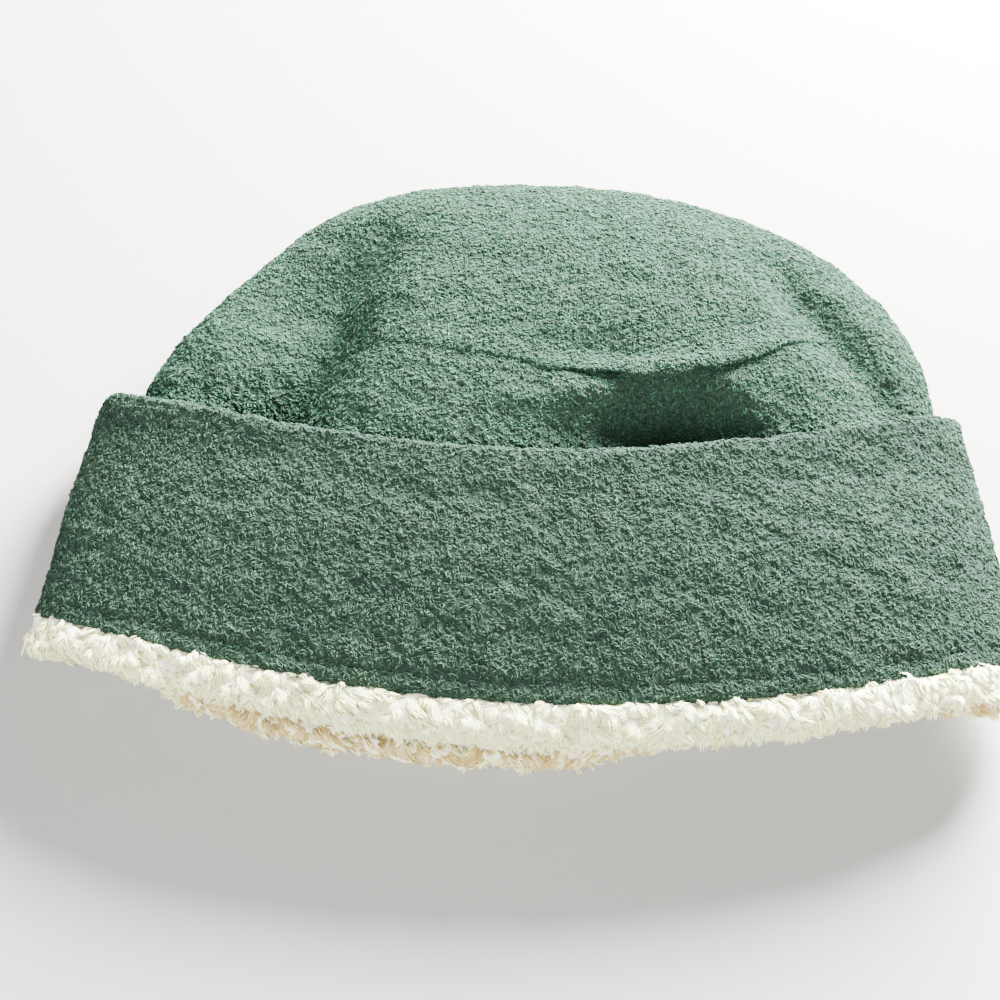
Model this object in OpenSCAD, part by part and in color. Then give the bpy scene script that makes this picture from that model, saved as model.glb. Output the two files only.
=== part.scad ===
// Cuffed beanie lying flat: fleece shell, turn-up cuff, pile trim and pile lining.
// +X runs across the hat, -Y to the head opening, +Z up from the surface it lies on.
// The origin is the centre of the footprint, at the height of that surface.

/* [Overall] */
// Width across the cuff, side fold to side fold
cuff_width = 286; // [250:1:310]
// Length from the front of the rim to the crown's end
hat_length = 217; // [200:1:230]
// Height of the side folds above the surface
fold_height = 15; // [14:0.5:17]

/* [Cuff] */
// Thickness of the folded cuff
cuff_t = 4; // [3:0.25:4.5]
// Depth of the cuff at its middle, above the trim
cuff_depth = 70.5; // [66:0.5:76]
// How far the rim's middle stands forward of its ends
rim_bow = 24; // [10:1:30]
// How far the cuff's upper edge dips between its ends
cuff_dip = 32; // [20:1:36]
// Height of the cuff's middle at the rim
rim_rise = 26; // [25:0.5:30]
// Height of the cuff's middle at its upper edge
cuff_rise = 44; // [42:0.5:48]

/* [Crown] */
// Thickness of the fleece shell
shell_t = 2; // [1.5:0.25:2.5]
// Width of the crown where it leaves the cuff
crown_width = 260; // [252:1:266]
// Height of the crown's puffed middle
crown_rise = 45; // [42:0.5:48]
// How far the crown leans to one side
crown_lean = 6.5; // [0:0.5:8]
// Where the crown seam is furthest forward, from the rim
seam_y = 114; // [110:1:118]
// Depth of the hollow under the crown seam
hollow_depth = 11; // [0:0.5:14]
// Depth of the long valley on the left flank
valley_depth = 12; // [0:0.5:18]
// Depth of the crease on the right flank
crease_depth = 6; // [0:0.5:11]

/* [Lining and trim] */
// Thickness of the pile lining
lining_t = 3; // [2:0.25:3.5]
// Length of the pile trim ahead of the cuff
trim_len = 10; // [8:0.5:12]

/* [Thread] */
// Radius of a seam's thread
thread_r = 0.4; // [0.3:0.05:0.45]

/* [Hidden] */

gap = 0.3;                       // air between two layers
seam_gap = 1.4;                  // air between two panels at a seam
shell_d = cuff_t + gap;          // depth of each layer below the cuff's face
lining_d = shell_d + shell_t + gap;
inside_d = lining_d + lining_t;
edge_pow = 2.4;                  // section exponents: sides, top, underside
top_pow = 2;
base_pow = 5;
tip_y = hat_length + 2;          // where the crown's outline would close
cuff_y = trim_len + cuff_depth;  // cuff's upper edge at its middle
ring_n = 80;                     // facets round a whole ring
half_n = 40;                     // facets across a front or back panel
hem = 1.3;                       // degrees left clear at each side seam

FLEECE = "#7d9a87";
FLEECE_LIGHT = "#8eae9b";
CREAM = "#e4e0cb";
THREAD = "#5b7566";

// Eased step from 0 at a to 1 at b
function ease(a, b, v) =
    let (k = min(1, max(0, (v - a) / (b - a)))) k * k * (3 - 2 * k);
function mix(a, b, k) = a + (b - a) * k;
function signed_pow(v, p) = sign(v) * pow(abs(v), p);
function bump(v, centre, reach) = exp(-pow((v - centre) / reach, 2));

// Edges, as distances from the rim, across u = -1 (left fold) to 1 (right fold)
function rim_edge(u) = rim_bow * pow(u - 0.05, 2);
function cuff_edge(u) = cuff_y + cuff_dip * u * u;
function seam_edge(u) =
    let (from = u - 0.3) seam_y + 32 * (1 - exp(-pow(from / (from < 0 ? 1.1 : 0.36), 2)));

// How much further back than the front's the back's rim lies, most of all on the right
function set_back(u) = 8 * ease(0.05, 0.45, u) * (1 - ease(0.7, 1, u))
    + 6 * bump(u, -0.85, 0.13) + 2 * (1 - pow(u, 4)) - 1.5 * bump(u, -0.3, 0.35);

// Cuff's outer form at distance y from the rim
function cuff_half(y) = cuff_width / 2 - 2.5 * ease(60, 125, y);
function cuff_top(y) = mix(rim_rise, cuff_rise, sqrt(ease(-40, cuff_y, y)) * 1.6 - 0.6)
    + 4 * ease(cuff_y, 120, y);

// Crown's outer form: how far along to the tip, half width, height, lean
function to_tip(y) = min(0.99, max(0, (y - 118) / (tip_y - 118)));
function crown_half(y) =
    crown_width / 2 * pow(1 - pow(to_tip(y), 1.8), 1 / 2.3) - 2.5 * bump(y, 168, 30);
function crown_top_z(y) =
    fold_height + (crown_rise - fold_height) * pow(1 - pow(to_tip(y), 2.6), 0.55);
function lean(y) = crown_lean * ease(80, 165, y) * (1 - 0.9 * ease(172, hat_length, y))
    + 2.5 * bump(y, 168, 30);

// Folds pressed into the soft front, in millimetres of depth. Each is a bump across,
// wider on one side of its middle than on the other, that runs some way along the hat
function uneven(x, middle, left, right) = bump(x, middle, x < middle ? left : right);
function waist(u, y) =
    5 * bump(y, cuff_edge(u) + 3, 15) * mix(0.4, 1, ease(-0.8, -0.3, u))
    * (1 - 0.8 * bump(u, -0.12, 0.35));
function hollow(x, y) =
    let (brink = mix(103, 114, bump(x, 48, 30)))
    hollow_depth * uneven(x, 43, 36, 26) * (1 - ease(brink - 15, brink, y)) * ease(52, 82, y);
function valley(x, y) =
    let (
        bottom = -69 + 15 * ease(140, 185, y) - 13 * (1 - ease(92, 132, y)),
        deep = valley_depth * mix(1.15, 1, ease(98, 128, y))
    )
    deep * ease(66, 104, y) * (1 - ease(142, 196, y)) * uneven(x, bottom, 27, 16);
function crease(x, y) =
    crease_depth * bump(y, 131, 36) * uneven(x, 97 - (y - 140) * 0.6, 13, 10);
function dip(x, y) = 3.5 * bump(x, 28, 24) * bump(y, 117, 11);

// A point on the hat. a: degrees round, 0 at the left fold, 90 at the front's
// middle, 180 at the right fold. y: from the rim. d: depth below the face.
// in_cuff: 1 for a layer that only has the cuff's form, 0 for the shell's.
function skin(a, y, d, in_cuff) =
    let (
        u = -signed_pow(cos(a), 2 / edge_pow),
        own = 1 - in_cuff,
        wide = mix(cuff_half(y), crown_half(y) + shell_d, own * ease(70, 118, y)),
        tall = mix(cuff_top(y), crown_top_z(y) + shell_d, own * ease(58, 96, y)),
        x = lean(y) * own + (wide - d) * u,
        front = sin(a) >= 0,
        top = pow(abs(sin(a)), 2 / top_pow),
        base = pow(abs(sin(a)), 2 / base_pow),
        folds = own * pow(top, 1.5)
            * (waist(u, y) + hollow(x, y) + valley(x, y) + crease(x, y) + dip(x, y)),
        // past the cuff the shell drops onto the surface, and it lifts at the crown's end
        drop = own * shell_d * ease(cuff_edge(u) + 1, cuff_edge(u) + 18, y),
        lift = own * (fold_height - 1) * (1 - sqrt(1 - pow(to_tip(y), 9))),
        under = min(fold_height - 1, d - drop + 0.3 * own + lift)
    )
    [
        x,
        y - hat_length / 2,
        front
            ? fold_height + max(1, tall - fold_height - d) * top - folds
            : fold_height - (fold_height - under) * base
    ];

// Closed solid between two grids of points, rows by columns
module panel(face, back) {
    rows = len(face);
    cols = len(face[0]);
    n = rows * cols;
    quads = concat(
        [for (r = [0:rows - 2], c = [0:cols - 2])
            [r * cols + c, r * cols + c + 1, (r + 1) * cols + c + 1, (r + 1) * cols + c]],
        [for (r = [0:rows - 2], c = [0:cols - 2])
            [n + r * cols + c, n + (r + 1) * cols + c, n + (r + 1) * cols + c + 1, n + r * cols + c + 1]],
        [for (c = [0:cols - 2]) [c, n + c, n + c + 1, c + 1]],
        [for (c = [0:cols - 2]) let (k = (rows - 1) * cols + c) [k, k + 1, n + k + 1, n + k]],
        [for (r = [0:rows - 2]) let (k = r * cols) [k, k + cols, n + k + cols, n + k]],
        [for (r = [0:rows - 2]) let (k = r * cols + cols - 1) [k, n + k, n + k + cols, k + cols]]
    );
    polyhedron([for (g = [face, back], row = g) each row], halves(quads));
}

// Closed cup between two nested sets of rings, open at the first ring
module cup(face, back) {
    rows = len(face);
    cols = len(face[0]);
    n = rows * cols;
    m = (rows - 1) * cols;
    quads = concat(
        [for (r = [0:rows - 2], c = [0:cols - 1]) let (e = (c + 1) % cols)
            [r * cols + c, r * cols + e, (r + 1) * cols + e, (r + 1) * cols + c]],
        [for (r = [0:rows - 2], c = [0:cols - 1]) let (e = (c + 1) % cols)
            [n + r * cols + c, n + (r + 1) * cols + c, n + (r + 1) * cols + e, n + r * cols + e]],
        [for (c = [0:cols - 1]) let (e = (c + 1) % cols) [c, n + c, n + e, e]]
    );
    polyhedron(
        [for (g = [face, back], row = g) each row],
        concat(
            halves(quads),
            [[for (c = [0:cols - 1]) m + c]],
            [[for (c = [0:cols - 1]) n + m + cols - 1 - c]]
        )
    );
}

function halves(quads) = [for (q = quads) each [[q[0], q[1], q[2]], [q[0], q[2], q[3]]]];

// Angles round the front half, the back half, or the whole ring
function span(from, to, n) = [for (i = [0:n]) mix(from, to, i / n)];
FRONT = span(hem, 180 - hem, half_n);
BACK = span(180 + hem, 360 - hem, half_n);
RING = [for (i = [0:ring_n - 1]) 360 * i / ring_n];

function across(a) = -signed_pow(cos(a), 2 / edge_pow);

// Rows of a layer between two edges, where each edge is a function of the angle
function grid(angles, rows, from, to, d, in_cuff, ahead = 0) =
    [for (i = [0:rows]) [for (a = angles)
        skin(a, mix(from(a) + ahead, to(a), i / rows), d, in_cuff)]];

rim_at = function (a) rim_edge(across(a)) + (sin(a) < 0 ? set_back(across(a)) : 0);
body_start = function (a) rim_at(a) + trim_len + gap;
cuff_end = function (a) cuff_edge(across(a));
// The crown seam runs across the front in a curve and straight across the back
seam_at = function (a)
    mix(seam_edge(across(a)), seam_y + 36, sin(a) >= 0 ? 1 - ease(0, 0.35, sin(a)) : 1);
shell_end = function (a) seam_at(a) - seam_gap / 2;
crown_start = function (a) seam_at(a) + seam_gap / 2;

// One fleece or pile panel: a front or back half between the rim and the seam
module half_layer(angles, d, t, in_cuff, end, rows) {
    panel(
        grid(angles, rows, body_start, end, d, in_cuff),
        grid(angles, rows, body_start, end, d + t, in_cuff)
    );
}

// One closed crown layer, from the seam over the fold at the crown's end
module crown_layer(d, t, rows) {
    far = function (a) hat_length - (d - shell_d);
    far_inside = function (a) hat_length - (d - shell_d) - t;
    bow = function (k) 1 - pow(1 - k, 1.6);
    rings = function (end, depth) [for (i = [0:rows]) [for (a = RING)
        skin(a, mix(crown_start(a), end(a), bow(i / rows)), depth, 0)]];
    cup(rings(far, d), rings(far_inside, d + t));
}

module crown_top() {
    color(FLEECE_LIGHT) crown_layer(shell_d, shell_t, 14);
}

module shell_front() {
    color(FLEECE_LIGHT) half_layer(FRONT, shell_d, shell_t, 0, shell_end, 13);
}

module shell_back() {
    color(FLEECE_LIGHT) half_layer(BACK, shell_d, shell_t, 0, shell_end, 13);
}

module lining_top() {
    color(CREAM) crown_layer(lining_d, lining_t, 12);
}

module lining_front() {
    color(CREAM) half_layer(FRONT, lining_d, lining_t, 0, shell_end, 13);
}

module lining_back() {
    color(CREAM) half_layer(BACK, lining_d, lining_t, 0, shell_end, 13);
}

// Front of the cuff: it wraps round both side folds, down to the back's plate
module cuff_front() {
    color(FLEECE) half_layer(span(-21, 201, 36), 0, cuff_t, 1, cuff_end, 10);
}

// Back of the cuff: a flat plate, the face that the hat rests on
module cuff_back() {
    low = 40;
    inset = cuff_width / 2 * 0.985;
    front_line = [for (i = [0:low]) let (u = mix(-1, 1, i / low))
        [inset * u, rim_edge(u) + set_back(u) + trim_len + gap]];
    rear_line = [for (i = [0:low]) let (u = mix(1, -1, i / low))
        [(inset - 2.5) * u, cuff_edge(u)]];
    color(FLEECE)
        translate([0, -hat_length / 2, 0])
            linear_extrude(cuff_t)
                polygon(concat(front_line, rear_line));
}

// Pile roll along the rim: its section is a rounded bar, swept round the half
module trim_roll(angles) {
    mid = inside_d / 2;
    around = 12;
    ring_of = function (a) [for (k = [0:around - 1])
        let (
            turn = 360 * k / around,
            y = rim_at(a) + trim_len / 2 * (1 - signed_pow(cos(turn), 0.6)),
            d = mid + (mid - 0.2) * signed_pow(sin(turn), 0.6)
        )
        skin(a, y, d, 1)];
    rod([for (a = angles) ring_of(a)]);
}

// Closed rod through a list of rings
module rod(rings) {
    rows = len(rings);
    cols = len(rings[0]);
    polyhedron(
        [for (r = rings) each r],
        concat(
            halves([for (r = [0:rows - 2], c = [0:cols - 1]) let (e = (c + 1) % cols)
                [r * cols + c, r * cols + e, (r + 1) * cols + e, (r + 1) * cols + c]]),
            [[for (c = [cols - 1:-1:0]) c]],
            [[for (c = [0:cols - 1]) (rows - 1) * cols + c]]
        )
    );
}

module trim_front() {
    color(CREAM) trim_roll(span(hem, 180 - hem, 40));
}

module trim_back() {
    color(CREAM) trim_roll(span(180 + hem, 360 - hem, 40));
}

// Six-sided thread round a list of points, open at both ends
module thread(path) {
    side = function (k) let (n = len(path) - 1, a = path[max(0, k - 1)], b = path[min(n, k + 1)])
        (b - a) / norm(b - a);
    rod([for (k = [0:len(path) - 1])
        let (
            along = side(k),
            up = abs(along[2]) < 0.9 ? [0, 0, 1] : [0, 1, 0],
            right = cross(along, up) / norm(cross(along, up)),
            over = cross(right, along)
        )
        [for (j = [0:5]) path[k] + thread_r * (cos(60 * j) * right + sin(60 * j) * over)]]);
}

// Runs in the gap between the crown and the panels, nearly all the way round
module crown_seam_thread() {
    color(THREAD)
        thread([for (a = span(-88, 268, 120)) skin(a, seam_at(a), shell_d + shell_t / 2, 0)]);
}

// Lockstitch line in the groove just above the trim, on the cuff's face
module rim_stitching() {
    color(THREAD)
        thread([for (a = span(2, 178, 90))
            skin(a, rim_at(a) + trim_len + 3.4, -thread_r - 0.15, 1)]);
}

module side_seam_thread(a) {
    color(THREAD)
        thread([for (i = [0:24])
            skin(a, mix(body_start(a) + 1, shell_end(a) - 2, i / 24), shell_d + shell_t / 2, 0)]);
}

module side_seam_thread_left() {
    side_seam_thread(0);
}

module side_seam_thread_right() {
    side_seam_thread(180);
}

crown_top();
shell_front();
shell_back();
cuff_front();
cuff_back();
trim_front();
trim_back();
lining_top();
lining_front();
lining_back();
crown_seam_thread();
rim_stitching();
side_seam_thread_left();
side_seam_thread_right();
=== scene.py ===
"""A cuffed beanie lying flat: fleece shell, turn-up cuff, pile trim and pile lining.

Every cloth panel is grown from one description of the hat's form, skin(). It is the CAD
model's own, with its valley, crease and hollow pressed in deeper. On the panels stand the
curls of the fleece and the locks of the pile, as mesh strands.
Lengths are millimetres in the part's frame; MM turns them into metres in each mesh.
"""

import math

import bpy
import numpy as np
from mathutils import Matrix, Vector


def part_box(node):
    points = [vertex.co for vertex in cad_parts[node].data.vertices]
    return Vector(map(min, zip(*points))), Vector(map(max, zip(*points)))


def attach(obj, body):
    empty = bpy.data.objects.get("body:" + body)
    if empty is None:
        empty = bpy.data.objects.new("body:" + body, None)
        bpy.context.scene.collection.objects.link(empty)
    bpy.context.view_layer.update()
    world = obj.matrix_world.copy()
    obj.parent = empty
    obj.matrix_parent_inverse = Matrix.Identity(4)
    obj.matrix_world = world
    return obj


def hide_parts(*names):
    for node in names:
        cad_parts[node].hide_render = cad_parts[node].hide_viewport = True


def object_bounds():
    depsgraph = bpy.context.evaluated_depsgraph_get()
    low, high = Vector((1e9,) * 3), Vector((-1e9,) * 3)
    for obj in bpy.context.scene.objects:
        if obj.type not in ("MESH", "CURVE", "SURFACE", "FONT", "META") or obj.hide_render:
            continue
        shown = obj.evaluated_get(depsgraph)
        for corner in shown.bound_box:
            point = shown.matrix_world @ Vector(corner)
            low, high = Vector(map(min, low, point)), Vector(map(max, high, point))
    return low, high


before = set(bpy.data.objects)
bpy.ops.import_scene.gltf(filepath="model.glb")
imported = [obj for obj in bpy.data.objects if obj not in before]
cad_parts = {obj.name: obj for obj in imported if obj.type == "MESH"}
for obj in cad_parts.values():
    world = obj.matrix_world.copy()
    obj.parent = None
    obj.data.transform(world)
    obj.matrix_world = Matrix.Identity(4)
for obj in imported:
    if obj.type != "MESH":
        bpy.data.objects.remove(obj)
cad_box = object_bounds()

# ---------------------------------------------------------------- driving sizes
MM = 0.001
hat_length = (cad_box[1][1] - cad_box[0][1]) / MM
fold_gap = 0.3  # by which a front half stops short of the two side folds
cuff_width = (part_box("cuff_front")[1][0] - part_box("cuff_front")[0][0]) / MM + fold_gap
cuff_t = (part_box("cuff_back")[1][2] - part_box("cuff_back")[0][2]) / MM
fold_height = 15.0  # height of the side folds above the floor
cuff_depth = 70.5  # cuff at its middle, above the trim
rim_bow = 24.0  # how far the rim's middle stands forward of its ends
cuff_dip = 32.0  # how far the cuff's upper edge dips between its ends
rim_rise = 26.0  # height of the cuff's middle at the rim
cuff_rise = 44.0  # and at its upper edge
trim_len = 10.0  # of the pile trim, from the rim
shell_t = 2.0  # thickness of the fleece
lining_t = 3.0  # and of the pile lining
crown_width = 260.0
crown_rise = 45.0
crown_lean = 6.5  # how far the crown lies over to the right
seam_y = 114.0  # where the crown seam is furthest forward

air = 0.3  # between two layers
cuff_room = 0.6  # of the cuff's thickness, left to its curls
shell_room = 0.4  # and of the shell's
groove_at = trim_len + 3.6  # from the rim, the groove that the rim's stitches draw in
shell_d = cuff_t + air  # depth of the shell's face below the cuff's
lining_d = shell_d + shell_t + air
inside_d = lining_d + lining_t
EDGE_POW, BASE_POW = 2.4, 5.0  # how square a cross-section is at its folds and underneath
tip_y = hat_length + 2  # where the crown's outline would close
cuff_y = trim_len + cuff_depth  # the cuff's upper edge at its middle


# ---------------------------------------------------------------- form of the hat
def ease(a, b, v):
    k = np.clip((v - a) / (b - a), 0, 1)
    return k * k * (3 - 2 * k)


def mix(a, b, k):
    return a + (b - a) * k


def signed_pow(v, p):
    return np.sign(v) * np.abs(v) ** p


def bump(v, centre, reach):
    return np.exp(-(((v - centre) / reach) ** 2))


def rim_edge(u):
    return rim_bow * (u - 0.05) ** 2


def rim_at(a):
    """Where the rim runs at each angle: the back's rim stands further back on the right."""
    u = across(a)
    behind = np.sin(np.radians(a)) < 0
    right = 8 * ease(0.05, 0.45, u) * (1 - ease(0.7, 1, u))
    left = 6 * bump(u, -0.85, 0.13) - 1.5 * bump(u, -0.3, 0.35)
    return rim_edge(u) + behind * (right + 2 * (1 - u**4) + left)


def cuff_edge(u):
    return cuff_y + cuff_dip * u**2


def seam_edge(u):
    away = u - 0.3
    return seam_y + 32 * (1 - np.exp(-((away / np.where(away < 0, 1.1, 0.36)) ** 2)))


def cuff_half(y):
    return cuff_width / 2 - 2.5 * ease(60, 125, y)


def cuff_top(y):
    rise = np.sqrt(ease(-40, cuff_y, y)) * 1.6 - 0.6
    return mix(rim_rise, cuff_rise, rise) + 4 * ease(cuff_y, 120, y)


def to_tip(y):
    return np.clip((y - 118) / (tip_y - 118), 0, 0.99)


def crown_half(y):
    return crown_width / 2 * (1 - to_tip(y) ** 1.8) ** (1 / 2.3) - 2.5 * bump(y, 168, 30)


def crown_top_z(y):
    return fold_height + (crown_rise - fold_height) * (1 - to_tip(y) ** 2.6) ** 0.55


def lean(y):
    over = crown_lean * ease(80, 165, y) * (1 - 0.9 * ease(172, hat_length, y))
    return over + 2.5 * bump(y, 168, 30)


def uneven(x, middle, left, right):
    """A bump whose reach isn't the same to the left as to the right."""
    return bump(x, middle, np.where(x < middle, left, right))


def folds_of(u, x, y, raised):
    """How deep the soft crown is pressed in at each place: the waist above the cuff, the
    hollow under the crown seam, the long valley on the left, the crease on the right, a dip
    by the seam and, the other way, the seam's lip. u: across, from -1 to 1. raised: 1 for
    the crown piece, whose edge stands over the seam."""
    waist = 5 * bump(y, cuff_edge(u) + 3, 15)
    waist *= mix(0.4, 1, ease(-0.8, -0.3, u)) * (1 - 0.8 * bump(u, -0.12, 0.35))
    brink = mix(103, 114, bump(x, 48, 30))
    hollow = 12 * uneven(x, 43, 36, 26) * (1 - ease(brink - 15, brink, y)) * ease(52, 82, y)
    bottom = -69 + 15 * ease(140, 185, y) - 13 * (1 - ease(92, 132, y))
    deep = mix(24.5, 19.5, ease(98, 128, y))
    valley = deep * ease(66, 104, y) * (1 - ease(142, 196, y)) * uneven(x, bottom, 27, 16)
    crease = 10 * bump(y, 131, 36) * uneven(x, 97 - (y - 140) * 0.6, 13, 10)
    dip = 3 * bump(x, 24, 20) * bump(y, 118, 10)
    seam = seam_edge(u)
    lip = raised * bump(np.maximum(y, seam), seam, 4.5) * (0.5 + 3.2 * bump(u, 0.33, 0.22))
    return waist + hollow + valley + crease + dip - lip


def skin(a, y, d, in_cuff, raised=0):
    """Points on the hat. a: degrees round from the left fold over the front. y: from the rim.
    d: depth below the outer face. in_cuff: 1 for the cuff's own form, 0 for the shell's."""
    a, y, d = np.broadcast_arrays(np.radians(a), np.asarray(y, float), np.asarray(d, float))
    u = -signed_pow(np.cos(a), 2 / EDGE_POW)
    own = 1 - in_cuff
    # past the cuff, the shell goes over into the crown's own form
    wide = mix(cuff_half(y), crown_half(y) + shell_d, own * ease(70, 118, y))
    tall = mix(cuff_top(y), crown_top_z(y) + shell_d, own * ease(58, 96, y))
    x = lean(y) * own + (wide - d) * u
    top = np.abs(np.sin(a))
    base = top ** (2 / BASE_POW)
    swell = 1.5 * bump(y, cuff_edge(u), 9) - 0.6 * bump(y, rim_edge(u) + groove_at, 1.4)
    folds = own * top**1.5 * folds_of(u, x, y, raised) - in_cuff * top * swell
    drop = own * shell_d * ease(cuff_edge(u) + 1, cuff_edge(u) + 18, y)
    lift = own * (fold_height - 1) * (1 - np.sqrt(1 - to_tip(y) ** 9))
    under = np.minimum(fold_height - 1, d - drop + air * own + lift)
    z = np.where(
        np.sin(a) >= 0,
        fold_height + np.maximum(1, tall - fold_height - d) * top - folds,
        fold_height - (fold_height - under) * base,
    )
    return np.stack([x, y - hat_length / 2, z], -1)


def across(a):
    """How far across the hat an angle lies, from -1 at the left fold to 1."""
    return -signed_pow(np.cos(np.radians(a)), 2 / EDGE_POW)


def seam_at(a):
    """Where the crown seam runs: curved on the front, straight across the back."""
    s = np.sin(np.radians(a))
    return mix(seam_edge(across(a)), seam_y + 36, np.where(s >= 0, 1 - ease(0, 0.35, s), 1))


def body_start(a):
    return rim_at(a) + trim_len + air


# ---------------------------------------------------------------- random fields
def waves(length, count=26, seed=0):
    """A smooth random field with lumps about length across, between -1 and 1 or so."""
    r = np.random.default_rng(seed)
    way = r.normal(size=(count, 3))
    number = 2 * math.pi / length * r.uniform(0.7, 1.4, count)
    way *= (number / np.linalg.norm(way, axis=1))[:, None]
    phase = r.uniform(0, 2 * math.pi, count)

    def field(p):
        total = np.zeros(len(p))
        for k in range(count):
            total += np.sin(p @ way[k] + phase[k])
        return total * math.sqrt(2 / count)

    return field


ripple, felt = waves(13, seed=1), waves(3.0, seed=2)  # a cloth's slow dents and fine lumps
patchy, broad = waves(3.2, seed=11), waves(38, count=16, seed=12)  # drifts in the curls


# ---------------------------------------------------------------- mesh making
def object_of(name, points, faces, materials, slots=None):
    """A smooth mesh object from points in millimetres and faces that all have as many
    corners. slots: the number of each face's material."""
    me = bpy.data.meshes.new(name)
    n, k = faces.shape
    me.vertices.add(len(points))
    me.vertices.foreach_set("co", (points * MM).astype(np.float32).ravel())
    me.loops.add(n * k)
    me.loops.foreach_set("vertex_index", faces.astype(np.int32).ravel())
    me.polygons.add(n)
    me.polygons.foreach_set("loop_start", np.arange(0, n * k, k, dtype=np.int32))
    for m in materials:
        me.materials.append(m)
    if slots is not None:
        me.polygons.foreach_set("material_index", slots.astype(np.int32))
    me.polygons.foreach_set("use_smooth", np.ones(n, bool))
    me.update(calc_edges=True)
    me.validate()
    ob = bpy.data.objects.new(name, me)
    bpy.context.scene.collection.objects.link(ob)
    return ob


def loft(sections):
    """Points and quads over closed sections, columns by ring, closed at both ends."""
    cols, ring, _ = sections.shape
    i, k = np.meshgrid(np.arange(cols - 1), np.arange(ring), indexing="ij")
    j = (k + 1) % ring
    quads = np.stack([i * ring + k, i * ring + j, (i + 1) * ring + j, (i + 1) * ring + k], -1)
    # the ring is flat and long, so its two long sides are joined across
    k = np.arange(ring // 2 - 1)
    first = np.stack([k, ring - 1 - k, ring - 2 - k, k + 1], -1)
    last = (cols - 1) * ring + first[:, ::-1]
    return sections.reshape(-1, 3), np.concatenate([quads.reshape(-1, 4), first, last])


def normals_of(points, quads):
    """Normal of each point, from the quads round it."""
    p = points[quads]
    face = np.cross(p[:, 2] - p[:, 0], p[:, 3] - p[:, 1])
    total = np.zeros_like(points)
    for c in range(4):
        np.add.at(total, quads[:, c], face)
    return total / np.maximum(np.linalg.norm(total, axis=1), 1e-9)[:, None]


def layer_sections(angles, start, end, d, t, in_cuff, step=1.8, edge=4):
    """Closed sections of a cloth layer: out along its face, round its edge and back inside."""
    most = max(float(np.max(end(angles) - start(angles))), 1)
    n = int(most / step)
    w = np.concatenate([
        np.linspace(0, 1, n),
        np.ones(edge), np.linspace(1, 0, n), np.zeros(edge),
    ])
    turn = (np.arange(edge) + 1) / (edge + 1) * math.pi
    depth = np.concatenate([
        np.zeros(n), (1 - np.cos(turn)) / 2, np.ones(n), (1 + np.cos(turn)) / 2,
    ])
    out = np.concatenate([np.zeros(n), np.sin(turn), np.zeros(n), -np.sin(turn)])
    a = angles[:, None]
    y = start(a) + (end(a) - start(a)) * w + out * t / 2
    return skin(a, y, d + depth * t, in_cuff)


# ---------------------------------------------------------------- materials
def principled(name, colour, roughness, sheen, sheen_tint=(1, 1, 1), subsurface=0.0, gloss=0.05):
    mat = bpy.data.materials.new(name)
    mat.use_nodes = True
    p = mat.node_tree.nodes["Principled BSDF"]
    p.inputs["Base Color"].default_value = (*colour, 1)
    p.inputs["Roughness"].default_value = roughness
    p.inputs["Specular IOR Level"].default_value = gloss
    p.inputs["Sheen Weight"].default_value = sheen
    p.inputs["Sheen Roughness"].default_value = 0.5
    p.inputs["Sheen Tint"].default_value = (*sheen_tint, 1)
    if subsurface:
        p.inputs["Subsurface Weight"].default_value = subsurface
        p.inputs["Subsurface Radius"].default_value = (1.0, 0.95, 0.8)
        p.inputs["Subsurface Scale"].default_value = 0.002
    mat.diffuse_color = (*colour, 1)
    return mat


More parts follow.
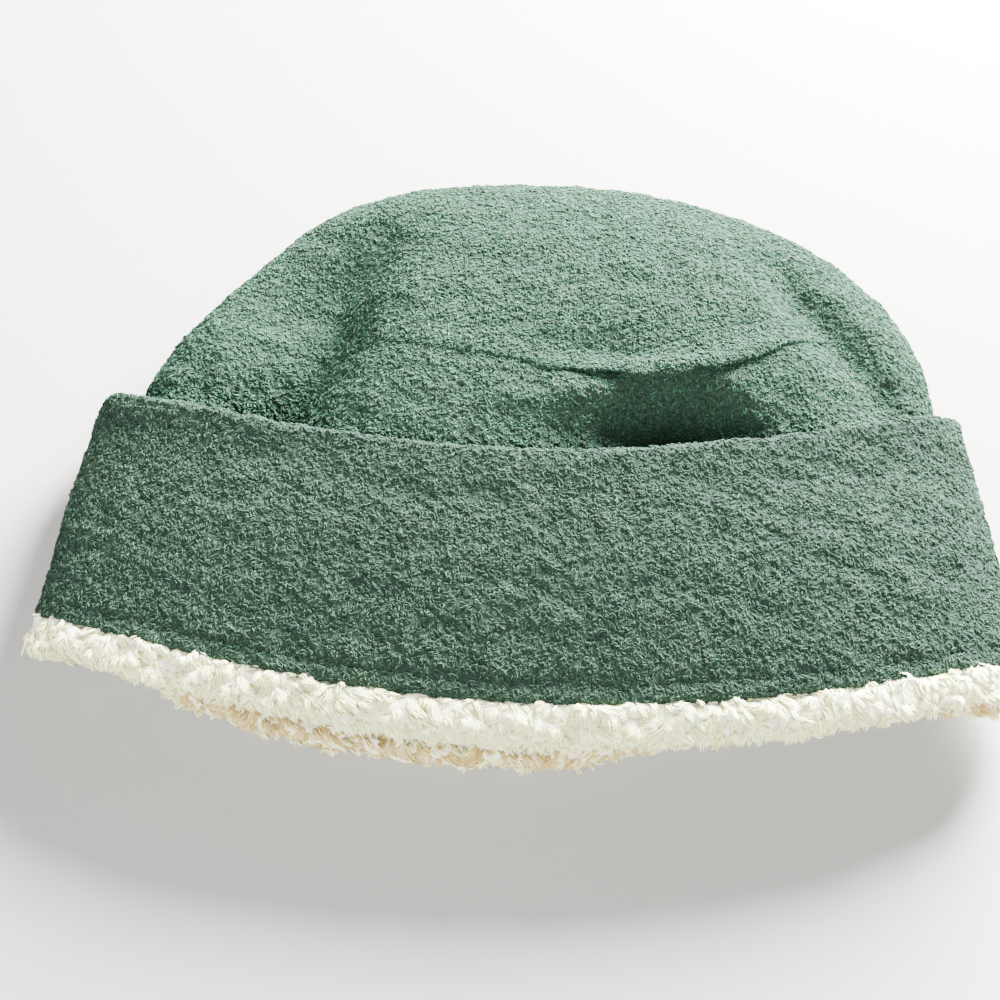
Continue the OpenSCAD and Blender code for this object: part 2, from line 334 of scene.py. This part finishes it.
def cloth_material(name, low, mid, high, grain, bump_height, sheen_tint, subsurface=0.0):
    """A cloth whose colour goes from its pits to its tops with a curly grain; the darker pits are
    painted shade.
    """
    mat = principled(name, mid, 0.95, 0.1, sheen_tint, subsurface)
    nt = mat.node_tree
    p = nt.nodes["Principled BSDF"]

    def node(kind, **values):
        n = nt.nodes.new(kind)
        for key, value in values.items():
            setattr(n, key, value)
        return n

    place = node("ShaderNodeTexCoord")
    warp = node("ShaderNodeTexNoise")
    warp.inputs["Scale"].default_value = 0.55 / (grain * MM)
    warp.inputs["Detail"].default_value = 1
    bend = node("ShaderNodeVectorMath", operation="MULTIPLY_ADD")
    bend.inputs[1].default_value = (grain * MM * 1.4,) * 3
    curl = node("ShaderNodeTexNoise")
    curl.inputs["Scale"].default_value = 1.0 / (grain * MM)
    curl.inputs["Detail"].default_value = 3
    curl.inputs["Roughness"].default_value = 0.6
    patch = node("ShaderNodeTexNoise")
    patch.inputs["Scale"].default_value = 45
    patch.inputs["Detail"].default_value = 2
    # the ramp runs dark where the noise that also drives the bump is low: painted shade in the
    # pits
    ramp = node("ShaderNodeValToRGB")
    stops = ramp.color_ramp
    stops.elements[0].position, stops.elements[0].color = 0.34, (*low, 1)
    stops.elements[1].position, stops.elements[1].color = 0.68, (*high, 1)
    middle = stops.elements.new(0.5)
    middle.color = (*mid, 1)
    tone = node("ShaderNodeMix", data_type="RGBA", blend_type="MULTIPLY")
    shade = node("ShaderNodeMapRange")
    shade.inputs["To Min"].default_value = 0.82
    shade.inputs["To Max"].default_value = 1.12
    relief = node("ShaderNodeBump")
    relief.inputs["Distance"].default_value = bump_height * MM
    relief.inputs["Strength"].default_value = 1.0
    join = nt.links.new
    join(place.outputs["Object"], warp.inputs["Vector"])
    join(warp.outputs["Color"], bend.inputs[0])
    join(place.outputs["Object"], bend.inputs[2])
    join(bend.outputs[0], curl.inputs["Vector"])
    join(place.outputs["Object"], patch.inputs["Vector"])
    join(curl.outputs["Fac"], ramp.inputs["Fac"])
    join(patch.outputs["Fac"], shade.inputs["Value"])
    tone.inputs[0].default_value = 1.0
    join(ramp.outputs["Color"], tone.inputs[6])
    join(shade.outputs["Result"], tone.inputs[7])
    join(tone.outputs[2], p.inputs["Base Color"])
    join(curl.outputs["Fac"], relief.inputs["Height"])
    join(relief.outputs["Normal"], p.inputs["Normal"])
    return mat


def tint(colour, by):
    return tuple(min(1.0, c * by) for c in colour)


GREEN = (0.0258, 0.0500, 0.0340)  # linear colour of the fleece's curls
BACKING = (0.84, 0.82, 0.60)  # of the knit that the pile stands on
# the fleece's ground is darker than its curls: painted shade in the gaps between the curls
fleece_cloth = cloth_material(
    "fleece_cloth", tint(GREEN, 0.36), tint(GREEN, 0.6), tint(GREEN, 0.9), 1.2, 0.7, GREEN)


PLAIN = 0.93  # how light the curls' middle shade is
HEATHER = (0.031, 0.049, 0.028)


def curl_set(name, colour, spread):
    """The fleece's curls in their shades, dark to light and then a heathered one. The dark
    ones are greyer and the light ones greener."""
    shades = []
    for k in (0.4, 0.65, PLAIN, 1.24, 2.2):
        light = mix(PLAIN, k, spread)
        grey = PLAIN - light
        r, g, b = tint(colour, light)
        shades.append((r * (1 + 0.15 * grey), g * (1 - 0.05 * grey), b))
    shades.append(HEATHER)
    return [
        principled(f"{name}_{i}", c, 0.9, 0.02, (0.6, 0.9, 0.75), gloss=0.02)
        for i, c in enumerate(shades)
    ]


# the crown's and shell's curls are a lighter, greener copy of the cuff's with more contrast:
# painted light on the top of the hat
cuff_curls = curl_set("cuff_curl", (0.0272, 0.0512, 0.0352), 0.5)
lit_crown_curls = curl_set("lit_crown_curl", (0.0284, 0.0658, 0.0420), 0.65)
CURL_SHARES = (0.14, 0.24, 0.28, 0.2, 0.1, 0.04)  # of the six shades
pile_cloth = cloth_material(
    "pile_cloth", tint(BACKING, 0.86), tint(BACKING, 0.95), BACKING, 2.2, 0.4, BACKING, 0.2)
# three creams, then two tans: the tans are painted shade and painted warm lamp light on pile that
# faces in
pile_locks = [
    principled(f"pile_lock_{i}", c, 0.75, 0.15, (1, 0.98, 0.85), 0.25, 0.12)
    for i, c in enumerate((
        (0.91, 0.96, 0.54), (0.91, 0.93, 0.46), (0.89, 0.86, 0.40),
        (0.72, 0.54, 0.19), (0.58, 0.40, 0.11),
    ))
]
OUTER_SHARES = (0.5, 0.35, 0.15)  # of the first three, where the pile faces out
# the tan shares are painted shade and painted warm lamp light
SHADE_TAN_SHARES = (0, 0.05, 0.15, 0.4, 0.4)  # of all five, where it faces in and is tan
TUFT_SHARES = (0.6, 0.3, 0.1)  # of the first three, in the tufts along the trim's edge
thread_mat = principled("sewing_thread_green", (0.022, 0.042, 0.030), 0.8, 0.05)


# ---------------------------------------------------------------- strands
def frames_along(path):
    """Two directions across each point of many paths, strands by points by 3."""
    along = np.gradient(path, axis=1)
    along /= np.maximum(np.linalg.norm(along, axis=2, keepdims=True), 1e-9)
    guide = np.zeros_like(along)
    guide[..., 2] = 1
    steep = np.abs(along[..., 2]) > 0.9
    guide[steep] = (0, 1, 0)
    right = np.cross(along, guide)
    right /= np.maximum(np.linalg.norm(right, axis=2, keepdims=True), 1e-9)
    return right, np.cross(right, along)


def strands(path, radius, sides=3):
    """Triangles of many tapering strands: a point at each end and rings between."""
    n, k, _ = path.shape
    right, over = frames_along(path)
    turn = np.arange(sides) * 2 * math.pi / sides
    inner = path[:, 1:-1, None] + radius[:, 1:-1, None, None] * (
        np.cos(turn)[:, None] * right[:, 1:-1, None] + np.sin(turn)[:, None] * over[:, 1:-1, None])
    rings = k - 2
    points = np.concatenate([path[:, :1], inner.reshape(n, -1, 3), path[:, -1:]], axis=1)
    each = points.shape[1]
    tris = []
    for s in range(sides):
        e = (s + 1) % sides
        tris.append((0, 1 + e, 1 + s))
        for r in range(rings - 1):
            a, b = 1 + r * sides, 1 + (r + 1) * sides
            tris += [(a + s, a + e, b + e), (a + s, b + e, b + s)]
        last = 1 + (rings - 1) * sides
        tris.append((last + s, last + e, each - 1))
    tris = np.array(tris)
    all_tris = (np.arange(n)[:, None, None] * each + tris).reshape(-1, 3)
    return points.reshape(-1, 3), all_tris, len(tris)


def scatter(points, quads, density, r, keep):
    """Random places on quads, even by area, with their normals. density: to a square
    millimetre. keep(points, normals): which triangles to use."""
    tris = np.concatenate([quads[:, [0, 1, 2]], quads[:, [0, 2, 3]]])
    normals = normals_of(points, quads)
    tris = tris[keep(points[tris].mean(1), normals[tris].mean(1))]
    a, b, c = (points[tris[:, i]] for i in range(3))
    size = np.linalg.norm(np.cross(b - a, c - a), axis=1) / 2
    number = int(density * size.sum())
    pick = r.choice(len(tris), number, p=size / size.sum())
    v = r.random((2, number, 1))
    u, w = np.where(v[0] + v[1] > 1, 1 - v[0], v[0]), np.where(v[0] + v[1] > 1, 1 - v[1], v[1])
    at = a[pick] + u * (b[pick] - a[pick]) + w * (c[pick] - a[pick])
    n = normals[tris[pick]].mean(1)
    return at, n / np.maximum(np.linalg.norm(n, axis=1, keepdims=True), 1e-9)


def any_tangent(n, r):
    t = np.cross(n, r.normal(size=n.shape))
    return t / np.maximum(np.linalg.norm(t, axis=1, keepdims=True), 1e-9)


MOST_TRIS = 190000  # in one piece


def pieces_of(name, path, radius, slots, materials, sides=3):
    """Strands as one or more pieces, none of them too big to export whole."""
    per = len(strands(path[:1], radius[:1], sides)[1])
    chunk = MOST_TRIS // per
    made = []
    for k, i in enumerate(range(0, len(path), chunk)):
        points, tris, each = strands(path[i:i + chunk], radius[i:i + chunk], sides)
        slot_of = np.repeat(slots[i:i + chunk], each)
        made.append(object_of(f"{name}_{k + 1}", points, tris, materials, slot_of))
    return made


UNDERSIDE = 0.55  # share of the curls that the side on the table gets


def curls_on(name, points, quads, density, seed, materials, keep, size):
    """The fleece's curls: small arched loops that lie over each other."""
    r = np.random.default_rng(seed)
    at, n = scatter(points, quads, density, r, keep)
    shown = (at[:, 2] > fold_height) | (r.random(len(at)) < UNDERSIDE)
    at, n = at[shown], n[shown]
    m = len(at)
    t = any_tangent(n, r)
    side = np.cross(n, t)
    s = np.array([0, 0.33, 0.68, 1])
    long = size * r.uniform(1.4, 2.8, m)[:, None]
    high = size * (r.uniform(0.1, 0.62, m) * (1 + 0.3 * patchy(at)))[:, None]
    wave = size * (r.uniform(0.2, 0.6, m) * r.choice([-1, 1], m))[:, None]
    phase = r.uniform(0, 2 * math.pi, m)[:, None]
    along = long * (s - 0.5)
    up = high * np.sin(math.pi * (0.1 + 0.8 * s)) - 0.15
    aside = wave * np.sin(4.5 * s + phase)
    path = (
        at[:, None] + along[..., None] * t[:, None] + up[..., None] * n[:, None]
        + aside[..., None] * side[:, None]
    )
    path[..., 2] = np.maximum(path[..., 2], 0.25)
    radius = np.repeat(size * r.uniform(0.18, 0.32, m)[:, None], 4, axis=1)
    rank = r.random(m) + 0.06 * patchy(at) + 0.05 * ripple(at) + 0.07 * broad(at)
    order = np.searchsorted(np.cumsum(CURL_SHARES)[:-1], np.clip(rank, 0, 0.999))
    return pieces_of(name, path, radius, order, materials)


def locks_on(name, points, quads, density, seed, comb, keep, per=9, inner=None):
    """Pile: short locks of per fine strands, combed one way, that close to a curved tip.
    inner(points, normals): which locks take the tan shades, painted shade and painted warm lamp
    light."""
    r = np.random.default_rng(seed)
    at, n = scatter(points, quads, density, r, keep)
    m = len(at)
    drift = np.stack([waves(11, 14, seed + 40 + k)(at) for k in range(2)], -1)
    way = comb(at, n) + 0.12 * any_tangent(n, r)
    way[:, 0] += 0.55 * drift[:, 0]
    way -= (way * n).sum(1, keepdims=True) * n
    way /= np.maximum(np.linalg.norm(way, axis=1, keepdims=True), 1e-9)
    side = np.cross(n, way)
    long = r.uniform(3.2, 5.0, m)
    rise = r.uniform(0.03, 0.13, m)
    bow = 1.2 * drift[:, 1] + r.normal(0, 0.5, m)
    s = np.linspace(0, 1, 5)
    each = np.repeat(np.arange(m), per)
    k = len(each)
    reach = long[each] * r.uniform(0.6, 1.1, k)
    place = r.uniform(-1, 1, k)[:, None] * (1 - 0.4 * s**1.5)
    level = r.uniform(0, 1, k)[:, None] * (1 - 0.5 * s)
    along = reach[:, None] * (s - 0.15 * s**2)
    up = reach[:, None] * rise[each][:, None] * np.sin(s * 2.6) + 0.35 * level - 0.3
    aside = 0.95 * place + bow[each][:, None] * s**2
    path = (
        at[each][:, None]
        + along[..., None] * way[each][:, None]
        + up[..., None] * n[each][:, None]
        + aside[..., None] * side[each][:, None]
    )
    path[..., 1] = np.minimum(path[..., 1], at[each][:, None, 1] + 0.2)
    path[..., 2] = np.maximum(path[..., 2], 0.3)
    radius = r.uniform(0.15, 0.23, k)[:, None] * (1 - 0.35 * s)
    slots = r.choice(3, m, p=OUTER_SHARES)
    if inner is not None:
        slots = np.where(inner(at, n), r.choice(5, m, p=SHADE_TAN_SHARES), slots)
    slots = np.repeat(slots, per)
    return pieces_of(name, path, radius, slots, pile_locks)


# ---------------------------------------------------------------- panels
HEM = 0.01  # degrees between a half's side edge and the fold
FRONT = np.linspace(HEM, 180 - HEM, 230)
BACK = np.linspace(180 + HEM, 360 - HEM, 200)


def roughened(points, quads, amount=0.12, slow=0.18):
    """Cloth is never quite smooth: slow dents and a fine lumpiness."""
    n = normals_of(points, quads)
    return points + n * (slow * ripple(points) + amount * felt(points))[:, None]


def outward(points, quads):
    """Faces turned so that the closed mesh's volume comes out positive."""
    p = points[quads]
    vol = (np.cross(p[:, 1] - p[:, 0], p[:, 2] - p[:, 0]) * p[:, 0]).sum()
    vol += (np.cross(p[:, 2] - p[:, 0], p[:, 3] - p[:, 0]) * p[:, 0]).sum()
    return quads if vol > 0 else quads[:, ::-1]


def panel(node, angles, end, d, t, in_cuff, material, rough=(0.12, 0.18)):
    """A front or back cloth from the trim to end(angle), for the CAD node of that name.
    d: depth of its face. t: thickness. rough: its fine and its slow unevenness."""
    points, quads = loft(layer_sections(angles, body_start, end, d, t, in_cuff))
    quads = outward(points, quads)
    points = roughened(points, quads, *rough)
    ob = object_of(node + "_cloth", points, quads, [material])
    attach(ob, "root")
    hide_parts(node)
    return ob, points, quads


def cuff_stop(a):
    return cuff_edge(across(a))


CUFF_FACE = (cuff_room, cuff_t - cuff_room, 1, fleece_cloth)
SHELL_FACE = (shell_d + shell_room, shell_t - shell_room, 0, fleece_cloth)
LINING_FACE = (lining_d, lining_t, 0, pile_cloth, (0.2, 0.12))
cuff_front = panel("cuff_front", FRONT, cuff_stop, *CUFF_FACE)
cuff_back = panel("cuff_back", BACK, cuff_stop, *CUFF_FACE)
shell_front = panel("shell_front", FRONT, seam_at, *SHELL_FACE)
shell_back = panel("shell_back", BACK, seam_at, *SHELL_FACE)
lining_front = panel("lining_front", FRONT, seam_at, *LINING_FACE)
lining_back = panel("lining_back", BACK, seam_at, *LINING_FACE)


longest_row = 110  # mm from the crown seam to the crown's end, at the most


def crown_cup(node, d, t, material, cols=340, step=1.5, raised=1, overhang=3):
    """A cup of cloth from the crown seam to the crown's end, with its edge rounded.
    d: depth of its face. t: thickness. overhang: how far its edge comes down over the
    hollow."""
    a = np.linspace(0, 360, cols, endpoint=False)[:, None]
    w = 1 - (1 - np.linspace(0, 1, int(longest_row / step))) ** 1.6
    far = hat_length - (d - shell_d)
    u = across(a)
    wavy = 0.8 * np.sin(26 * u + 1) + 0.5 * np.sin(61 * u)  # the lip's edge isn't straight
    start = seam_at(a) - overhang * bump(u, 0.32, 0.5) * (1 + 0.3 * wavy)
    outer = skin(a, start + (far - start) * w, d, 0, raised)
    inner = skin(a, start + (far - t - start) * w[::-1], d + t, 0, raised)
    turn = (np.arange(3) + 1) / 4 * math.pi
    edge = skin(a, start - np.sin(turn) * t / 2, d + t * (1 + np.cos(turn)) / 2, 0, raised)
    sections = np.concatenate([outer[:, ::-1], edge[:, ::-1], inner[:, ::-1]], axis=1)
    rows = sections.shape[1]
    i, k = np.meshgrid(np.arange(cols), np.arange(rows - 1), indexing="ij")
    j = (i + 1) % cols
    quads = np.stack([i * rows + k, j * rows + k, j * rows + k + 1, i * rows + k + 1], -1)
    points = sections.reshape(-1, 3)
    # close each end across: the end rings are flat and long
    c = np.arange(cols // 2 - 1)
    cap = np.stack([c, cols - 1 - c, cols - 2 - c, c + 1], -1) * rows
    quads = np.concatenate([quads.reshape(-1, 4), cap, cap[:, ::-1] + rows - 1])
    quads = outward(points, quads)
    points = roughened(points, quads)
    ob = object_of(node + "_cloth", points, quads, [material])
    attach(ob, "root")
    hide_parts(node)
    return ob, points, quads


crown = crown_cup("crown_top", shell_d + shell_room, shell_t - shell_room, fleece_cloth)
lining_top = crown_cup("lining_top", lining_d, lining_t, pile_cloth, 220, 2.4, 0, 0)


# ---------------------------------------------------------------- curls of the fleece
def outside(p, n):
    """Keeps what faces out of the hat: up on the front, down or out on the back."""
    return np.where(p[:, 2] > fold_height, n[:, 2] > -0.25, n[:, 2] < 0.35)


def cuff_shows(p, n):
    """Keeps what faces out, and the cuff's inner face just below its open upper edge."""
    u = np.clip(p[:, 0] / (cuff_width / 2), -1, 1)
    return outside(p, n) | (p[:, 1] + hat_length / 2 > cuff_edge(u) - 20)


def clear_of_cuff(p, n):
    """Keeps what faces out and isn't hidden under the cuff."""
    u = np.clip((p[:, 0] - 3) / (cuff_width / 2), -1, 1)
    return outside(p, n) & (p[:, 1] + hat_length / 2 > cuff_edge(u) - 4)


DENSITY = 2.0  # curls to a square millimetre
CURL_SIZE = 0.8
grown = {}  # what stands on each cloth, by the cloth's name


def stand_on(cloth, made):
    """The pieces that were grown on a cloth: they ride with it, on the same body, and are listed
    under the cloth's name.
    """
    for ob in made:
        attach(ob, "root")
    grown.setdefault(cloth.name, []).extend(made)


# the shell and the crown take the lighter crown curls: painted light
for (ob, points, quads), seed, keep, shades, slot in (
    (cuff_front, 21, cuff_shows, cuff_curls, "cuff_fleece"),
    (shell_front, 22, clear_of_cuff, lit_crown_curls, "shell_fleece"),
    (crown, 23, outside, lit_crown_curls, "shell_fleece"),
    (cuff_back, 24, cuff_shows, cuff_curls, "cuff_fleece"),
    (shell_back, 25, clear_of_cuff, lit_crown_curls, "shell_fleece"),
):
    name = ob.name.replace("_cloth", "_curls")
    stand_on(ob, curls_on(name, points, quads, DENSITY, seed, shades, keep, CURL_SIZE))


# ---------------------------------------------------------------- trim and lining pile
def roll(angles, name, node):
    """The rounded bar of pile along one half of the rim."""
    mid = inside_d / 2
    turn = np.linspace(0, 2 * math.pi, 40, endpoint=False)
    a = angles[:, None]
    y = rim_at(a) + trim_len / 2 * (1 - signed_pow(np.cos(turn), 0.7))
    d = mid + (mid - 0.8) * signed_pow(np.sin(turn), 0.7)
    points, quads = loft(skin(a, y, d, 1))
    quads = outward(points, quads)
    points = roughened(points, quads, 0.5, 0.3)
    points[:, 2] = np.maximum(points[:, 2], 0.2)
    ob = object_of(name, points, quads, [pile_cloth])
    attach(ob, "root")
    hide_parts(node)
    return ob, points, quads


def comb_forward(at, n):
    way = np.zeros_like(at)
    way[:, 0] = 0.2
    way[:, 1] = -1
    way[:, 2] = -1.1
    return way


def edge_tufts(name, angles, count, seed, per=26):
    """The curled tips that hang along the trim's outer edge."""
    r = np.random.default_rng(seed)
    a = np.linspace(angles[0] + 1.5, angles[-1] - 1.5, count) + r.normal(0, 0.15, count)
    mid = inside_d / 2
    turn = r.uniform(-0.75, 0.35, count)
    y = rim_at(a) + trim_len / 2 * (1 - np.cos(turn)) + 0.5
    root = skin(a, y, mid - (mid - 1) * np.sin(turn), 1)
    lean_to = 0.9 * waves(26, 12, seed + 5)(root) + r.normal(0, 0.25, count)
    s = np.linspace(0, 1, 5)
    each = np.repeat(np.arange(count), per)
    k = len(each)
    reach = (r.uniform(3.0, 4.8, count)[each] * r.uniform(0.7, 1.1, k))[:, None]
    across_it = r.uniform(-1.15, 1.15, k)[:, None] * (1 - 0.8 * s**1.4)
    deep = r.uniform(-0.7, 0.7, k)[:, None] * (1 - 0.7 * s)
    curl = (r.choice([-1, 1], count, p=[0.35, 0.65]) * r.uniform(0.6, 1.5, count))[each][:, None]
    path = np.repeat(root[each][:, None], 5, axis=1)
    path[..., 0] += across_it + reach * (0.35 * lean_to[each][:, None] * s) + curl * s**2
    path[..., 1] += 0.4 - reach * (0.85 * s - 0.3 * s**2)
    path[..., 2] += deep - reach * (0.2 * s + 0.45 * s**2)
    path[..., 2] = np.maximum(path[..., 2], 0.3)
    radius = r.uniform(0.15, 0.23, k)[:, None] * (1 - 0.3 * s)
    slots = np.repeat(r.choice(3, count, p=TUFT_SHARES), per)
    return pieces_of(name, path, radius, slots, pile_locks)


# the back trim's pile that faces up, under the front layer, takes the tans of painted shade and
# painted warm lamp light
def shaded_facing_up(p, n):
    return n[:, 2] > 0.1


def not_behind(p, n):
    return n[:, 1] < 0.75


LOCKS = 0.55  # locks to a square millimetre
TUFTS = 100  # along one half of the trim
# the back trim's up-facing locks are tinted tan: painted shade and painted warm lamp light
for node, angles, seed, dense, inner in (
    ("trim_front", FRONT, 31, LOCKS, None), ("trim_back", BACK, 32, LOCKS * 0.8, shaded_facing_up),
):
    ob, points, quads = roll(angles, node + "_roll", node)
    stand_on(ob, locks_on(
        node + "_locks", points, quads, dense, seed, comb_forward, not_behind, inner=inner,
    ))
    stand_on(ob, edge_tufts(node + "_tufts", angles, TUFTS, seed + 60))


def near_mouth(facing):
    """Keeps the part of a lining's inner face that shows in the mouth."""
    def keep(p, n):
        u = np.clip(p[:, 0] / (cuff_width / 2), -1, 1)
        return (n[:, 2] * facing > 0.3) & (p[:, 1] + hat_length / 2 < rim_edge(u) + 55)
    return keep


def comb_out(at, n):
    way = np.zeros_like(at)
    way[:, 0] = 0.3
    way[:, 1] = -1
    return way


def everywhere(p, n):
    return np.ones(len(p), bool)


# the lining's locks by the mouth all take the tans: painted shade and painted warm lamp light
for (ob, points, quads), seed, facing in ((lining_front, 33, -1), (lining_back, 34, 1)):
    stand_on(ob, locks_on(
        ob.name.replace("cloth", "locks"), points, quads, LOCKS * 0.4, seed, comb_out,
        near_mouth(facing), per=6, inner=everywhere,
    ))


# ---------------------------------------------------------------- seams
def stitches(name, node, count, place, length=0.72, thick=0.3):
    """Short stitches along a line. place(k, d) gives the line's point at k from 0 to 1 and
    depth d, and each stitch is drawn in at both its ends."""
    begin = np.arange(count) / count
    s = np.linspace(0, 1, 6)
    k = begin[:, None] + length / count * s
    path = place(k, 0.7 - 0.9 * np.sin(s * math.pi)[None] + 0 * k)
    radius, slots = np.full(path.shape[:2], thick), np.zeros(count, int)
    for ob in pieces_of(name, path, radius, slots, [thread_mat], 5):
        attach(ob, "root")
        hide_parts(node)


def on_rim(k, d):
    a = mix(3, 177, k)
    return skin(a, rim_at(a) + groove_at - 0.2, d + 0.8, 1)


def on_crown_seam(k, d):
    a = mix(-88, 268, k)
    return skin(a, seam_at(a) - 1.2, shell_d + d + 0.4, 0)


def on_side(angle):
    def line(k, d):
        a = np.full_like(k, angle)
        return skin(a, mix(cuff_edge(1) + 3, seam_at(a) - 3, k), shell_d + d + 0.4, 0)
    return line


stitches("rim_stitches", "rim_stitching", 86, on_rim)
stitches("crown_seam_stitches", "crown_seam_thread", 190, on_crown_seam)
stitches("side_stitches_left", "side_seam_thread_left", 9, on_side(0))
stitches("side_stitches_right", "side_seam_thread_right", 9, on_side(180))

# ---------------------------------------------------------------- floor, light, camera
floor_mesh = bpy.data.meshes.new("floor")
FLOOR = 15  # metres each way
corners = [(-FLOOR, -FLOOR, 0), (FLOOR, -FLOOR, 0), (FLOOR, FLOOR, 0), (-FLOOR, FLOOR, 0)]
floor_mesh.from_pydata(corners, [], [(0, 1, 2, 3)])
floor = bpy.data.objects.new("floor", floor_mesh)
bpy.context.scene.collection.objects.link(floor)
floor_mesh.materials.append(principled("pale_floor", (0.38, 0.375, 0.36), 0.7, 0.0))


def area_light(name, where, to, size, power):
    data = bpy.data.lights.new(name, "AREA")
    data.shape, data.size, data.energy = "DISK", size, power
    ob = bpy.data.objects.new(name, data)
    ob.visible_camera = False
    ob.location = where
    away = np.array(where, float) - np.array(to, float)
    ob.rotation_euler = (
        math.atan2(math.hypot(away[0], away[1]), away[2]), 0, math.atan2(away[0], -away[1]))
    bpy.context.scene.collection.objects.link(ob)


area_light("key", (0.45, 0.77, 0.36), (0, 0.02, 0.03), 0.55, 430)
area_light("fill", (-0.2, -1.1, 0.8), (0, 0, 0.02), 1.2, 58)
world = bpy.data.worlds.new("studio")
world.use_nodes = True
world.node_tree.nodes["Background"].inputs["Color"].default_value = (1, 1, 1, 1)
world.node_tree.nodes["Background"].inputs["Strength"].default_value = 0.36
bpy.context.scene.world = world

# The camera stands close over the opening and looks down on the front.
LOOK_AT = (-0.008, -0.0295, 0.020)
DISTANCE, LOOK_DOWN, ROUND = 0.334, 58.0, 2.0  # metres, degrees down, degrees to the right
down, turn = math.radians(LOOK_DOWN), math.radians(ROUND)
cam_data = bpy.data.cameras.new("camera")
cam_data.sensor_width = 36
cam_data.lens = 39.0
cam = bpy.data.objects.new("camera", cam_data)
cam.location = (
    LOOK_AT[0] + DISTANCE * math.sin(turn) * math.cos(down),
    LOOK_AT[1] - DISTANCE * math.cos(turn) * math.cos(down),
    LOOK_AT[2] + DISTANCE * math.sin(down),
)
cam.rotation_euler = (math.pi / 2 - down, 0, turn)
bpy.context.scene.collection.objects.link(cam)
bpy.context.scene.camera = cam
